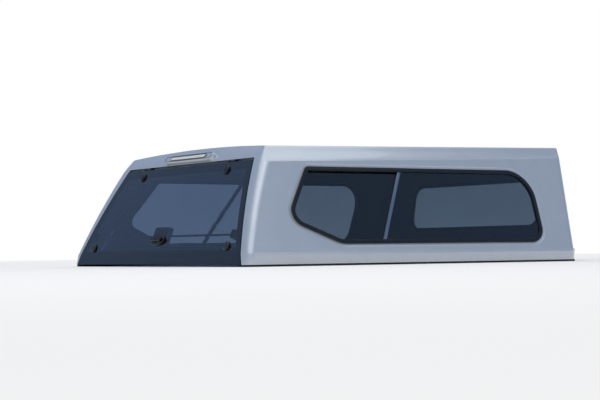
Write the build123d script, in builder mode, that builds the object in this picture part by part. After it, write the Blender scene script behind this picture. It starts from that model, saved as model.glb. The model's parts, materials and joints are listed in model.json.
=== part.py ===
from build123d import *
from math import atan2, cos, hypot, sin, sqrt
import os

# Pickup truck canopy, in millimetres: X to the truck's right, Y forward, Z up,
# with the underside of the base seals on Z zero and the rear glass lip at the least Y

# Overall form
length = 1744.0
width = 1520.0
roof_rear_height = 476.0
roof_front_height = 502.0
roof_crown = 16.0
roof_half_width = 562.0

# Laminate, core and base
wall = 6.0
through_cut = 24.0
roof_wall = 12.0
rear_frame_depth = 24.0
flange_width = 46.0
flange_thickness = 8.0
flange_rear_gap = 6.0
seal_thickness = 8.0
seal_width = 34.0
seal_setback = 2.0

# Sides, with a proud skirt below the ledge line
side_lean = 0.38
ledge_height = 54.0
ledge_step = 6.0
shoulder_height = 450.0
shoulder_turn = 7.0
corner_radius = 38.0
front_corner_radius = 55.0
roof_edge_radius = 20.0
upright_share = 0.7

# Rear profile: an upright lip, the raked pane and the header above it
lip_top = 52.0
lip_lean = 9.0
pane_top = 420.0
pane_lean = 162.0
pane_bulge = 8.0
header_lean = 40.0

# Front wall, leaning out over the cab
front_base_setback = 68.0
brow_height = 440.0
front_roof_setback = 18.0

# Door glass, its opening and its seal
glass = 5.0
glass_bottom = 9.0
glass_half_bottom = 716.0
glass_half_top = 535.0
glass_corner = 16.0
door_open = 75.0
door_gap = 6.5
header_gap = 10.0
frame_overlap = 28.0
door_seal_depth = 9.0
door_seal_width = 16.0
door_seal_margin = 8.0
soft_gap = 0.3

# Side windows
window_rear = -515.0
window_front = 645.0
window_front_foot = 630.0
window_tail_foot = -421.0
window_tail = -655.0
window_top = 393.0
window_bottom = 84.0
window_tail_height = 182.0
window_rear_radius = 25.0
window_front_radius = 130.0
window_front_foot_radius = 75.0
window_tail_foot_radius = 120.0
window_tail_radius = 65.0
window_lip = 10.0
window_sleeve = 4.0
window_flange = 18.0
window_proud = 2.0
window_sleeve_depth = 20.0
window_trim = 3.0
window_trim_width = 12.0
pane = 4.0
pane_setback = 2.0
slider_setback = 10.0
mullion_top = -50.0
mullion_foot = -219.0
mullion_width = 16.0
mullion_depth = 9.0

# Front window
front_window_width = 940.0
front_window_height = 210.0
front_window_centre = 262.0
front_window_radius = 60.0
front_seal_lip = 10.0
front_seal_core = 6.0
front_seal_proud = 3.0

# Brake light on the header
lamp_width = 410.0
lamp_height = 40.0
lamp_depth = 18.0
lamp_rise = 34.0
lamp_corner = 19.0
lamp_taper = 14.0
lamp_bevel = 2.0
lens_width = 300.0
lens_height = 18.0
lens_depth = 6.0
lens_proud = 1.0

# Hinges
hinge_x = 362.0
hinge_width = 64.0
hinge_ear = 15.0
hinge_play = 0.4
hinge_pin = 2.2
hinge_barrel = 4.0
hinge_arm = 5.2
hinge_plate = 3.0
hinge_plate_height = 20.0
hinge_plate_gap = 1.0
hinge_leaf_drop = 54.0
hinge_bolt_drop = 36.0
hinge_axis_depth = 0.5
hinge_axis_rise = 6.0
running_clearance = 0.1

# Caps over the bolts through the glass
cap_radius = 19.0
cap_height = 9.0
cap_edge = 6.0
bolt_radius = 4.0
bolt_clearance = 0.5

# Gas struts
strut_foot_x = 584.0
strut_foot_height = 80.0
strut_top_x = 500.0
strut_top_y = -650.0
strut_top_height = 360.0
strut_radius = 9.0
strut_rod = 4.0
strut_tube = 237.0
strut_rod_start = 125.0
strut_eye_radius = 9.0
strut_eye_width = 12.0
strut_end_radius = 7.5
ball_radius = 5.0
ball_reach = 20.0
ball_gap = 0.5
stud_radius = 3.5
foot_plate = 3.0
foot_plate_radius = 17.0
bracket_thickness = 4.0
bracket_offset = 30.0
bracket_x = 562.0
bracket_width = 46.0
bracket_height = 40.0
bracket_arm = 26.0

# Door handle and latches
handle_height = 110.0
handle_length = 118.0
handle_width = 50.0
handle_base = 8.0
handle_edge = 3.0
grip_length = 92.0
grip_width = 17.0
grip_thickness = 9.0
grip_gap = 1.0
grip_edge = 3.0
spindle_radius = 8.0
spindle_clearance = 1.0
spindle_reach = 8.0
latch_case_length = 120.0
latch_case_width = 74.0
latch_case_depth = 22.0
latch_height = 130.0
latch_rod = 4.0
latch_rod_depth = 12.0
latch_x = 599.0
latch_length = 38.0
latch_width = 34.0
latch_depth = 30.0
latch_mouth = 19.0
latch_mouth_depth = 16.0
latch_mouth_length = 24.0
striker_radius = 4.0
striker_plate = 4.0
striker_plate_width = 34.0
striker_plate_start = 650.0
striker_tip = 606.0

# Roof lining
lining = 4.0
lining_margin = 36.0

# Places worked out from the sizes above
rear_y = -length / 2
front_y = length / 2
base_height = seal_thickness
ledge_half = width / 2 - ledge_step
side_angle = atan2(side_lean, 1.0)
front_base_y = front_y - front_base_setback
roof_front_y = front_y - front_roof_setback
fold = (rear_y + lip_lean, lip_top)
pane_head = (fold[0] + pane_lean, pane_top)
pane_run = hypot(pane_lean, pane_top - lip_top)
pane_in = ((pane_top - lip_top) / pane_run, -pane_lean / pane_run)
pane_radius = (pane_run**2 / 4 + pane_bulge**2) / (2 * pane_bulge)
pane_middle = ((fold[0] + pane_head[0]) / 2, (fold[1] + pane_head[1]) / 2)
pane_apex = (pane_middle[0] - pane_bulge * pane_in[0], pane_middle[1] - pane_bulge * pane_in[1])
pane_centre = (pane_apex[0] + pane_radius * pane_in[0], pane_apex[1] + pane_radius * pane_in[1])
roof_rear_y = pane_head[0] + header_lean
header_top = pane_top + header_gap
door_stack = glass + door_seal_depth
far = 2 * length
both_sides = {"right": 1, "left": -1}


# Planes on the faces of the canopy


def pane_plane(x, z, depth=0.0):
    """On the door glass at a height: local Y up the glass, local Z outward."""
    y = pane_centre[0] - sqrt(pane_radius**2 - (z - pane_centre[1]) ** 2)
    outward = Vector(0, y - pane_centre[0], z - pane_centre[1]).normalized()
    return Plane(Vector(x, y, z) - outward * depth, x_dir=(1, 0, 0), z_dir=outward)


def pane_section(x):
    """Through the head of the glass: local X inward from its face, local Y up it."""
    head = pane_plane(x, pane_top)
    return Plane(head.origin, x_dir=-head.z_dir, z_dir=(1, 0, 0))


def header_plane():
    """On the header above the glass: local Y up the header from the pane head."""
    outward = (0, pane_top - roof_rear_height, header_lean)
    return Plane((0, *pane_head), x_dir=(1, 0, 0), z_dir=outward)


def side_plane(depth=0.0):
    """On the right side wall: local X forward, local Y up the wall from the ledge."""
    outward = Vector(cos(side_angle), 0, sin(side_angle))
    origin = Vector(ledge_half, 0, ledge_height) - outward * depth
    return Plane(origin, x_dir=(0, 1, 0), z_dir=outward)


def front_plane(depth=0.0):
    """On the front wall: local X to the left, local Y up the wall from its base."""
    outward = Vector(0, brow_height - base_height, -front_base_setback).normalized()
    origin = Vector(0, front_base_y, base_height) - outward * depth
    return Plane(origin, x_dir=(-1, 0, 0), z_dir=outward)


def up_side(z):
    """Distance up the side wall from the ledge to a height."""
    return (z - ledge_height) / cos(side_angle)


def outermost(piece, plane):
    """The piece's face that stands furthest out from a plane."""
    return piece.faces().sort_by(lambda face: plane.to_local_coords(face.center()).Z)[-1]


# Rear profile and layers that follow it


def rear_line(depth):
    """Lip, pane and header as one line, moved in from the outer face."""
    lip_slope = lip_lean / (lip_top - base_height)
    foot = (fold[0] - lip_slope * (lip_top + wall), -wall)
    peak = (roof_rear_y + header_lean, 2 * roof_rear_height - pane_top)
    corners = [foot, fold, pane_apex, pane_head, peak]
    moved = [(y + depth * pane_in[0], z + depth * pane_in[1]) for y, z in corners]
    Line(moved[0], moved[1])
    ThreePointArc(moved[1], moved[2], moved[3])
    Line(moved[3], moved[4])
    return moved[0], moved[4]


def rear_layer(near, deep):
    """Sheet between two depths behind the outer rear face, over the full width."""
    with BuildPart() as layer:
        with BuildSketch(Plane.YZ):
            with BuildLine():
                near_foot, near_peak = rear_line(near)
                deep_foot, deep_peak = rear_line(deep)
                Line(near_foot, deep_foot)
                Line(near_peak, deep_peak)
            make_face()
        extrude(amount=width / 2, both=True)
    return layer.part


def door_prism(margin, top_margin, foot, corner=glass_corner):
    """The glass outline grown by a margin, run through the rear of the canopy."""
    slope = (glass_half_bottom - glass_half_top) / (pane_top - glass_bottom)
    half_top = glass_half_top + margin - slope * top_margin
    half_foot = glass_half_bottom + margin + slope * (glass_bottom - foot)
    top = pane_top + top_margin
    with BuildPart() as prism:
        with BuildSketch(Plane.XZ) as outline:
            with BuildLine():
                Polyline((-half_foot, foot), (-half_top, top), (half_top, top), (half_foot, foot), close=True)
            make_face()
            fillet(outline.vertices().group_by(Axis.Y)[-1], corner)
        extrude(amount=length)
    return prism.part


# Outer form of the moulding, and the form of its inside


def raked_block(half_width, lean, inset, rear_inset, corner, front_corner):
    """Rear profile, leaning sides and front wall, with rounded upright corners."""
    top = roof_front_height + 2 * roof_crown
    slant = inset / cos(atan2(lean, 1.0))
    low_half = half_width - slant + lean * (ledge_height + wall)
    high_half = half_width - slant - lean * (top - ledge_height)
    front_slope = front_base_setback / (brow_height - base_height)
    front_low = (front_base_y - inset - front_slope * (base_height + wall), -wall)
    crosswise = [(-low_half, -wall), (-high_half, top), (high_half, top), (low_half, -wall)]
    with BuildPart() as block:
        with BuildSketch(Plane.YZ):
            with BuildLine():
                foot, peak = rear_line(rear_inset)
                Polyline(peak, (front_y - inset, peak[1]), (front_y - inset, brow_height), front_low, foot)
            make_face()
        extrude(amount=width, both=True)
        with BuildSketch(Plane.XZ):
            with BuildLine():
                Polyline(*crosswise, close=True)
            make_face()
        extrude(amount=length, both=True, mode=Mode.INTERSECT)
        for radius, forward in ((corner, -1), (front_corner, 1)):
            steep = block.edges().filter_by(lambda e: abs(e.tangent_at(0.5).Z) > upright_share)
            fillet(steep.filter_by(lambda e: e.center().Y * forward > length / 4), radius)
    return block.part


def roof_prism(drop, inset):
    """Crowned roof with its shoulder bands, run along the roof's slope."""
    pitch = atan2(roof_front_height - roof_rear_height, roof_front_y - roof_rear_y)
    slope_run = (0, -cos(pitch), -sin(pitch))
    across = Plane((0, roof_rear_y, roof_rear_height - drop), x_dir=(1, 0, 0), z_dir=slope_run)
    shoulder = shoulder_height - roof_rear_height
    half = roof_half_width - inset
    shoulder_half = half + shoulder_turn - side_lean * shoulder
    low = (shoulder_half + length, shoulder - length)
    with BuildPart() as prism:
        with BuildSketch(across) as section:
            with BuildLine():
                ThreePointArc((-half, 0), (0, roof_crown), (half, 0))
                Polyline((half, 0), (shoulder_half, shoulder), low)
                Polyline((-half, 0), (-shoulder_half, shoulder), (-low[0], low[1]))
                Line(low, (-low[0], low[1]))
            make_face()
            for side in both_sides.values():
                fillet(section.vertices().sort_by_distance((side * half, 0))[0], roof_edge_radius)
        extrude(amount=far, both=True)
    return prism.part


def canopy_form(inset, rear_inset, drop):
    """Leaning body, its proud skirt below the ledge and its roof."""
    corner = corner_radius - inset
    front_corner = front_corner_radius - inset
    ledge = Plane.XY.offset(ledge_height - inset)
    with BuildPart() as form:
        add(raked_block(ledge_half, side_lean, inset, rear_inset, corner, front_corner))
        add(roof_prism(drop, inset), mode=Mode.INTERSECT)
        split(bisect_by=ledge, keep=Keep.TOP)
    with BuildPart() as skirt:
        add(raked_block(width / 2, 0.0, inset, rear_inset, corner, front_corner))
        split(bisect_by=ledge, keep=Keep.BOTTOM)
    return form.part + skirt.part


# One-piece moulded body


def base_flange():
    """Flat flange turned in along both sides and the front, where clamps bear."""
    with BuildPart() as flange:
        add(canopy_form(wall / 2, rear_frame_depth / 2, roof_wall))
        split(bisect_by=Plane.XY.offset(base_height), keep=Keep.TOP)
        split(bisect_by=Plane.XY.offset(base_height + flange_thickness), keep=Keep.BOTTOM)
        inner_front = front_base_y - wall - flange_width
        with BuildSketch(Plane.XY):
            with Locations((0, (inner_front - far) / 2)):
                Rectangle(width - 2 * (wall + flange_width), inner_front + far)
        extrude(amount=roof_front_height, mode=Mode.SUBTRACT)
        flange_start = rear_y + rear_frame_depth + corner_radius + flange_rear_gap
        split(bisect_by=Plane.XZ.offset(-flange_start), keep=Keep.BOTTOM)
    return flange.part


def window_face(margin):
    """Side window outline in the wall's plane, grown by a margin."""
    corners = {
        (window_rear, up_side(window_top)): window_rear_radius,
        (window_front, up_side(window_top)): window_front_radius,
        (window_front_foot, up_side(window_bottom)): window_front_foot_radius,
        (window_tail_foot, up_side(window_bottom)): window_tail_foot_radius,
        (window_tail, up_side(window_tail_height)): window_tail_radius,
    }
    with BuildSketch() as outline:
        with BuildLine():
            Polyline(*corners, close=True)
        make_face()
        for corner, radius in corners.items():
            fillet(outline.vertices().sort_by_distance(corner)[0], radius)
        offset(amount=margin, kind=Kind.INTERSECTION)
    return outline.sketch


def window_ring(outer, inner, near, deep):
    """Ring that follows the side window between two margins and two depths."""
    with BuildPart() as ring:
        with BuildSketch(side_plane(near)):
            add(window_face(outer))
            add(window_face(inner), mode=Mode.SUBTRACT)
        extrude(amount=near - deep)
    return ring.part


def front_window_face(margin):
    """Front window outline grown by a margin."""
    with BuildSketch() as outline:
        with Locations((0, front_window_centre - base_height)):
            RectangleRounded(
                front_window_width + 2 * margin,
                front_window_height + 2 * margin,
                front_window_radius + margin,
            )
    return outline.sketch


def window_opening():
    """Prism through the right side wall for its window."""
    with BuildPart() as opening:
        with BuildSketch(side_plane(-wall)):
            add(window_face(-window_lip))
        extrude(amount=-through_cut)
    return opening.part


with BuildPart() as shell:
    add(canopy_form(0.0, 0.0, 0.0))
    add(canopy_form(wall, rear_frame_depth, roof_wall), mode=Mode.SUBTRACT)
    split(bisect_by=Plane.XY.offset(base_height), keep=Keep.TOP)
    add(base_flange())
    add(rear_layer(-width, door_stack) & door_prism(door_gap, header_gap, -wall), mode=Mode.SUBTRACT)
    add(door_prism(-frame_overlap, -frame_overlap, -wall), mode=Mode.SUBTRACT)
    add(window_opening(), mode=Mode.SUBTRACT)
    add(window_opening().mirror(Plane.YZ), mode=Mode.SUBTRACT)
    with BuildSketch(front_plane(-wall)):
        add(front_window_face(0.0))
    extrude(amount=-through_cut, mode=Mode.SUBTRACT)


# Roof lining, a thin sheet under the crowned roof

with BuildPart() as headliner:
    add(roof_prism(roof_wall + soft_gap, wall))
    add(roof_prism(roof_wall + lining, wall), mode=Mode.SUBTRACT)
    split(bisect_by=Plane.YZ.offset(roof_half_width - lining_margin), keep=Keep.BOTTOM)
    split(bisect_by=Plane.YZ.offset(lining_margin - roof_half_width), keep=Keep.TOP)
    split(bisect_by=Plane.XZ.offset(-(roof_rear_y + lining_margin)), keep=Keep.BOTTOM)
    split(bisect_by=Plane.XZ.offset(-(roof_front_y - lining_margin)), keep=Keep.TOP)


# Rubber strips that the canopy sits on

seal_half = width / 2 - seal_setback
seal_inner = seal_half - seal_width
seal_front = front_base_y - seal_setback
seal_rear = rear_y + seal_setback

with BuildPart() as seal_ring:
    with BuildSketch() as ring:
        with Locations((0, (seal_front + seal_rear) / 2)):
            Rectangle(2 * seal_half, seal_front - seal_rear)
        fillet(ring.vertices(), corner_radius)
        with Locations((0, (seal_front - seal_width - far) / 2)):
            Rectangle(2 * seal_inner, far + seal_front - seal_width, mode=Mode.SUBTRACT)
    extrude(amount=seal_thickness)

with BuildPart() as base_seal_right:
    add(seal_ring.part)
    split(bisect_by=Plane.YZ.offset(seal_inner), keep=Keep.TOP)

with BuildPart() as base_seal_front:
    add(seal_ring.part)
    split(bisect_by=Plane.YZ.offset(seal_inner), keep=Keep.BOTTOM)
    split(bisect_by=Plane.YZ.offset(-seal_inner), keep=Keep.TOP)


# Door glass with its bolt and spindle holes

hinge_bolt_height = pane_top - hinge_bolt_drop * pane_in[0]

with BuildPart() as door_glass:
    add(rear_layer(0.0, glass) & door_prism(0.0, -running_clearance, glass_bottom))
    for side in both_sides.values():
        for x, z in ((hinge_x, hinge_bolt_height), (strut_foot_x, strut_foot_height)):
            with BuildSketch(pane_plane(side * x, z)):
                Circle(bolt_radius + bolt_clearance)
            extrude(amount=through_cut, both=True, mode=Mode.SUBTRACT)
    with BuildSketch(pane_plane(0.0, handle_height)):
        Circle(spindle_radius + spindle_clearance)
    extrude(amount=through_cut, both=True, mode=Mode.SUBTRACT)


# Seal around the door opening, notched for the hinge leaves

seal_outer_drop = door_seal_margin + door_seal_width
seal_split_height = pane_top - seal_outer_drop

with BuildPart() as door_seal:
    add(rear_layer(glass + soft_gap, door_stack))
    add(door_prism(-door_seal_margin, -door_seal_margin, base_height), mode=Mode.INTERSECT)
    add(door_prism(-seal_outer_drop, -seal_outer_drop, -wall), mode=Mode.SUBTRACT)
    for side in both_sides.values():
        with BuildSketch(pane_section(side * hinge_x)):
            Rectangle(4 * door_stack, 4 * seal_outer_drop)
        extrude(amount=hinge_width / 2 + hinge_plate, both=True, mode=Mode.SUBTRACT)

with BuildPart() as door_seal_top:
    add(door_seal.part)
    split(bisect_by=Plane.XY.offset(seal_split_height), keep=Keep.TOP)

with BuildPart() as door_seal_right:
    add(door_seal.part)
    split(bisect_by=Plane.XY.offset(seal_split_height), keep=Keep.BOTTOM)
    split(bisect_by=Plane.YZ, keep=Keep.TOP)

# Side window: frame with a sleeve through the wall, inner trim, two panes and a mullion


def mullion_band(ahead, behind):
    """Strip along the mullion line, widened ahead of it and behind it."""
    slope = (mullion_top - mullion_foot) / (up_side(window_top) - up_side(window_bottom))
    low = up_side(window_bottom) - ledge_height
    high = up_side(window_top) + ledge_height
    foot = mullion_foot - slope * ledge_height
    head = mullion_top + slope * ledge_height
    corners = [(foot - behind, low), (foot + ahead, low), (head + ahead, high), (head - behind, high)]
    with BuildSketch() as band:
        with BuildLine():
            Polyline(*corners, close=True)
        make_face()
    return band.sketch


def window_sheet(near, deep, ahead, behind):
    """Part of the window's area inside its sleeve, between two depths."""
    with BuildPart() as sheet:
        with BuildSketch(side_plane(near)):
            add(window_face(-window_lip - window_sleeve))
            add(mullion_band(ahead, behind), mode=Mode.INTERSECT)
        extrude(amount=near - deep)
    return sheet.part


with BuildPart() as window_frame_right:
    add(window_ring(0.0, -window_flange, -window_proud, 0.0))
    add(window_ring(-window_lip, -window_lip - window_sleeve, 0.0, window_sleeve_depth))

with BuildPart() as window_trim_right:
    add(window_ring(window_trim_width - window_lip, -window_lip, wall, wall + window_trim))

with BuildPart() as window_mullion_right:
    add(window_sheet(0.0, mullion_depth, mullion_width / 2, mullion_width / 2))

with BuildPart() as fixed_pane_right:
    add(window_sheet(pane_setback, pane_setback + pane, length, -mullion_width / 2))

with BuildPart() as sliding_pane_right:
    add(window_sheet(slider_setback, slider_setback + pane, mullion_width / 2, length))


# Front window: rubber seal gripping the wall and the glass


def front_window_ring(outer, inner, near, deep):
    """Ring that follows the front window between two margins and two depths."""
    with BuildPart() as ring:
        with BuildSketch(front_plane(near)):
            add(front_window_face(outer))
            add(front_window_face(inner), mode=Mode.SUBTRACT)
        extrude(amount=near - deep)
    return ring.part


with BuildPart() as front_window_seal:
    add(front_window_ring(0.0, -front_seal_core, 0.0, wall))
    add(front_window_ring(front_seal_lip, -front_seal_core, -front_seal_proud, 0.0))
    add(front_window_ring(front_seal_lip, -front_seal_core, wall, wall + front_seal_proud))

with BuildPart() as front_window_glass:
    with BuildSketch(front_plane((wall - pane) / 2)):
        add(front_window_face(-front_seal_core))
    extrude(amount=-pane)


# High brake light: body-coloured pod with a long clear lens

with BuildPart() as brake_light_housing:
    with BuildSketch(header_plane()):
        with Locations((0, lamp_rise)):
            RectangleRounded(lamp_width, lamp_height, lamp_corner)
    extrude(amount=lamp_depth, taper=lamp_taper)
    chamfer(outermost(brake_light_housing, header_plane()).edges(), lamp_bevel)
    with BuildSketch(header_plane().offset(lamp_depth - lens_depth)):
        with Locations((0, lamp_rise)):
            SlotOverall(lens_width, lens_height)
    extrude(amount=2 * lens_depth, mode=Mode.SUBTRACT)

with BuildPart() as brake_light_lens:
    with BuildSketch(header_plane().offset(lamp_depth - lens_depth)):
        with Locations((0, lamp_rise)):
            SlotOverall(lens_width, lens_height)
    extrude(amount=lens_depth + lens_proud)


# Hinges, with the pin on the shell bracket and the leaf on the glass

hinge_centre = (hinge_axis_depth, hinge_axis_rise)
leaf_half = hinge_width / 2 - hinge_ear - hinge_play
plate_head = (header_top - pane_top + door_stack * -pane_in[1]) / pane_in[0] - hinge_plate_gap


def hinge_bracket(x):
    """Plate on the opening's flange, two ears and the pin between them."""
    with BuildPart() as bracket:
        for ear in (-1, 1):
            place = pane_section(x + ear * (hinge_width - hinge_ear) / 2)
            with BuildSketch(place):
                with Locations(hinge_centre):
                    Circle(hinge_barrel)
                with Locations(((hinge_axis_depth + door_stack) / 2, hinge_axis_rise)):
                    Rectangle(door_stack - hinge_axis_depth, hinge_arm)
            extrude(amount=hinge_ear / 2, both=True)
        with BuildSketch(pane_section(x)):
            with Locations((door_stack - hinge_plate / 2, plate_head - hinge_plate_height / 2)):
                Rectangle(hinge_plate, hinge_plate_height)
            with Locations(hinge_centre):
                Circle(hinge_pin)
        extrude(amount=hinge_width / 2, both=True)
        add(rear_layer(door_stack, 2 * door_stack), mode=Mode.SUBTRACT)
    return bracket.part


def hinge_leaf(x):
    """Barrel on the pin, an arm over the glass edge and a plate down its inside."""
    inner = glass + soft_gap
    with BuildPart() as leaf:
        with BuildSketch(pane_section(x)):
            with Locations(hinge_centre):
                Circle(hinge_barrel)
            with BuildLine():
                Polyline(
                    (hinge_axis_depth, hinge_axis_rise - hinge_arm / 2),
                    (inner, hinge_axis_rise - hinge_arm / 2),
                    (inner, 0.0),
                    (inner + hinge_plate, 0.0),
                    (inner + hinge_plate, hinge_axis_rise + hinge_arm / 2),
                    (hinge_axis_depth, hinge_axis_rise + hinge_arm / 2),
                    close=True,
                )
            make_face()
            with Locations(hinge_centre):
                Circle(hinge_pin + running_clearance, mode=Mode.SUBTRACT)
        extrude(amount=leaf_half, both=True)
        with BuildSketch(pane_section(x)):
            with Locations((inner + hinge_plate / 2, -hinge_leaf_drop / 2)):
                Rectangle(hinge_plate, hinge_leaf_drop)
        extrude(amount=hinge_width / 2, both=True)
        add(rear_layer(-door_stack, glass), mode=Mode.SUBTRACT)
    return leaf.part


# Domed caps with bolts through the glass


def bolt_cap(x, z):
    """Dome outside the glass with its bolt through to the inside face."""
    with BuildPart() as cap:
        with BuildSketch(pane_plane(x, z)):
            Circle(cap_radius)
        extrude(amount=cap_height)
        fillet(outermost(cap, pane_plane(x, z)).edges(), cap_edge)
        with BuildSketch(pane_plane(x, z)):
            Circle(bolt_radius)
        extrude(amount=-glass)
    return cap.part


# Gas strut: ball foot on the glass, rod, cylinder and bracket on the frame

hinge_axis = Axis(pane_section(0.0).from_local_coords((*hinge_centre, 0.0)), (1, 0, 0))
strut_foot_depth = glass + ball_reach + ball_radius + ball_gap + strut_end_radius
strut_top = Vector(strut_top_x, strut_top_y, strut_top_height)
strut_shut = pane_plane(strut_foot_x, strut_foot_height, strut_foot_depth).origin
strut_open = (strut_shut - hinge_axis.position).rotate(Axis.X, -door_open) + hinge_axis.position
strut_length = (strut_shut - strut_top).length
strut_pin = (strut_open - strut_top).cross(strut_shut - strut_top)

# At the top pivot, with local X down the strut and local Z outboard along its pin
strut_plane = Plane(strut_top, x_dir=strut_shut - strut_top, z_dir=strut_pin)


def along_strut(start):
    """Across the strut at a distance from its top pivot."""
    place = strut_plane.origin + strut_plane.x_dir * start
    return Plane(place, x_dir=strut_plane.z_dir, z_dir=strut_plane.x_dir)


with BuildPart() as strut_cylinder:
    with BuildSketch(strut_plane):
        Circle(strut_eye_radius)
    extrude(amount=strut_eye_width / 2, both=True)
    with BuildSketch(along_strut(0.0)):
        Circle(strut_radius)
    extrude(amount=strut_tube)
    with BuildSketch(along_strut(strut_rod_start - strut_eye_width)):
        Circle(strut_rod + running_clearance)
    extrude(amount=strut_tube, mode=Mode.SUBTRACT)
    with BuildSketch(strut_plane):
        Circle(stud_radius + running_clearance)
    extrude(amount=2 * strut_radius, both=True, mode=Mode.SUBTRACT)

with BuildPart() as strut_piston:
    with BuildSketch(along_strut(strut_rod_start)):
        Circle(strut_rod)
    extrude(amount=strut_length - strut_rod_start)
    with Locations(along_strut(strut_length)):
        Sphere(strut_end_radius)

with BuildPart() as strut_foot:
    with BuildSketch(pane_plane(strut_foot_x, strut_foot_height, glass)):
        Circle(foot_plate_radius)
    extrude(amount=-foot_plate)
    add(rear_layer(-door_stack, glass), mode=Mode.SUBTRACT)
    add(bolt_cap(strut_foot_x, strut_foot_height))
    with BuildSketch(pane_plane(strut_foot_x, strut_foot_height, glass)):
        Circle(stud_radius)
    extrude(amount=-ball_reach)
    with Locations(pane_plane(strut_foot_x, strut_foot_height, glass + ball_reach)):
        Sphere(ball_radius)

with BuildPart() as strut_bracket:
    arm_face = strut_plane.offset(bracket_offset)
    with BuildSketch(Plane(arm_face.origin, x_dir=(0, -1, 0), z_dir=arm_face.z_dir)):
        Circle(bracket_arm / 2)
        Rectangle(-strut_top_y, bracket_arm, align=(Align.MIN, Align.CENTER))
    extrude(amount=bracket_thickness)
    with BuildSketch(pane_plane(bracket_x, strut_top_height, rear_frame_depth)):
        Rectangle(bracket_width, bracket_height)
    extrude(amount=-bracket_thickness)
    with BuildSketch(strut_plane.offset(-strut_eye_width / 2 - running_clearance)):
        Circle(stud_radius)
    extrude(amount=bracket_offset + strut_eye_width / 2 + running_clearance)
    add(rear_layer(-width, rear_frame_depth), mode=Mode.SUBTRACT)


# Door handle: oval base, turning grip, and the latch case behind the glass

handle_plane = pane_plane(0.0, handle_height)

with BuildPart() as handle_rose:
    with BuildSketch(handle_plane):
        Ellipse(handle_length / 2, handle_width / 2)
    extrude(amount=handle_base)
    fillet(handle_rose.edges().sort_by(Axis.Y)[0], handle_edge)
    with BuildSketch(handle_plane):
        Circle(spindle_radius + running_clearance)
    extrude(amount=handle_base, mode=Mode.SUBTRACT)

with BuildPart() as handle_grip:
    with BuildSketch(handle_plane.offset(handle_base + grip_gap)):
        SlotOverall(grip_length, grip_width)
    extrude(amount=grip_thickness)
    fillet(handle_grip.faces().sort_by(Axis.Y)[0].edges(), grip_edge)
    with BuildSketch(handle_plane.offset(-glass - spindle_reach)):
        Circle(spindle_radius)
    extrude(amount=glass + spindle_reach + handle_base + grip_gap)

with BuildPart() as latch_case:
    with BuildSketch(pane_plane(0.0, latch_height, glass)):
        RectangleRounded(latch_case_length, latch_case_width, handle_edge)
    extrude(amount=-latch_case_depth)
    with BuildSketch(handle_plane):
        Circle(spindle_radius + running_clearance)
    extrude(amount=-glass - spindle_reach - grip_gap, mode=Mode.SUBTRACT)
    add(rear_layer(-door_stack, glass), mode=Mode.SUBTRACT)

with BuildPart() as latch_rods:
    rod_centre = pane_plane(0.0, latch_height, glass + latch_rod_depth).origin
    with BuildSketch(Plane.YZ.offset(latch_case_length / 2)):
        with Locations((rod_centre.Y, rod_centre.Z)):
            Circle(latch_rod)
    extrude(amount=latch_x - (latch_length + latch_case_length) / 2)
    mirror(about=Plane.YZ)

with BuildPart() as latch_right:
    latch_plane = pane_plane(latch_x, latch_height, glass)
    with BuildSketch(latch_plane):
        Rectangle(latch_length, latch_width)
    extrude(amount=-latch_depth)
    with BuildSketch(latch_plane.offset(-latch_depth)):
        with Locations((latch_length / 2, 0)):
            Rectangle(2 * latch_mouth_length, latch_mouth)
    extrude(amount=latch_mouth_depth, mode=Mode.SUBTRACT)
    add(rear_layer(-door_stack, glass), mode=Mode.SUBTRACT)

with BuildPart() as striker_right:
    striker_end = striker_plate_start + striker_plate_width
    bar_centre = pane_plane(0.0, latch_height, rear_frame_depth + striker_radius).origin
    with BuildSketch(pane_plane(0.0, latch_height, rear_frame_depth)):
        with Locations((striker_plate_start, 0)):
            Rectangle(striker_plate_width, latch_width, align=(Align.MIN, Align.CENTER))
    extrude(amount=-striker_plate)
    with BuildSketch(Plane.YZ.offset(striker_tip)):
        with Locations((bar_centre.Y, bar_centre.Z)):
            Circle(striker_radius)
    extrude(amount=striker_end - striker_tip)
    add(rear_layer(-width, rear_frame_depth), mode=Mode.SUBTRACT)


# Every piece by name, with the left side mirrored from the right

middle_pieces = {
    "shell": shell.part,
    "headliner": headliner.part,
    "base_seal_front": base_seal_front.part,
    "door_seal_top": door_seal_top.part,
    "front_window_seal": front_window_seal.part,
    "front_window_glass": front_window_glass.part,
    "brake_light_housing": brake_light_housing.part,
    "brake_light_lens": brake_light_lens.part,
    "door_glass": door_glass.part,
    "handle_base": handle_rose.part,
    "handle_grip": handle_grip.part,
    "latch_case": latch_case.part,
    "latch_rods": latch_rods.part,
}

right_pieces = {
    "base_seal": base_seal_right.part,
    "door_seal": door_seal_right.part,
    "window_frame": window_frame_right.part,
    "window_trim": window_trim_right.part,
    "window_mullion": window_mullion_right.part,
    "fixed_pane": fixed_pane_right.part,
    "sliding_pane": sliding_pane_right.part,
    "hinge_bracket": hinge_bracket(hinge_x),
    "hinge_leaf": hinge_leaf(hinge_x),
    "hinge_cap": bolt_cap(hinge_x, hinge_bolt_height),
    "strut_foot": strut_foot.part,
    "strut_rod": strut_piston.part,
    "strut_cylinder": strut_cylinder.part,
    "strut_bracket": strut_bracket.part,
    "latch": latch_right.part,
    "striker": striker_right.part,
}

pieces = dict(middle_pieces)
for name, part in right_pieces.items():
    pieces[name + "_right"] = part
    pieces[name + "_left"] = part.mirror(Plane.YZ)

os.makedirs("parts", exist_ok=True)
for name, part in pieces.items():
    part.label = name
    export_step(part, f"parts/{name}.step")
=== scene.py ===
import json
from math import atan2, cos, pi, radians, sin, sqrt

import bpy
from bpy.props import (
    FloatProperty,
    FloatVectorProperty,
    IntProperty,
    PointerProperty,
    StringProperty,
)
from bpy.types import Operator, Panel, PropertyGroup
from mathutils import Matrix, Vector


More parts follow.
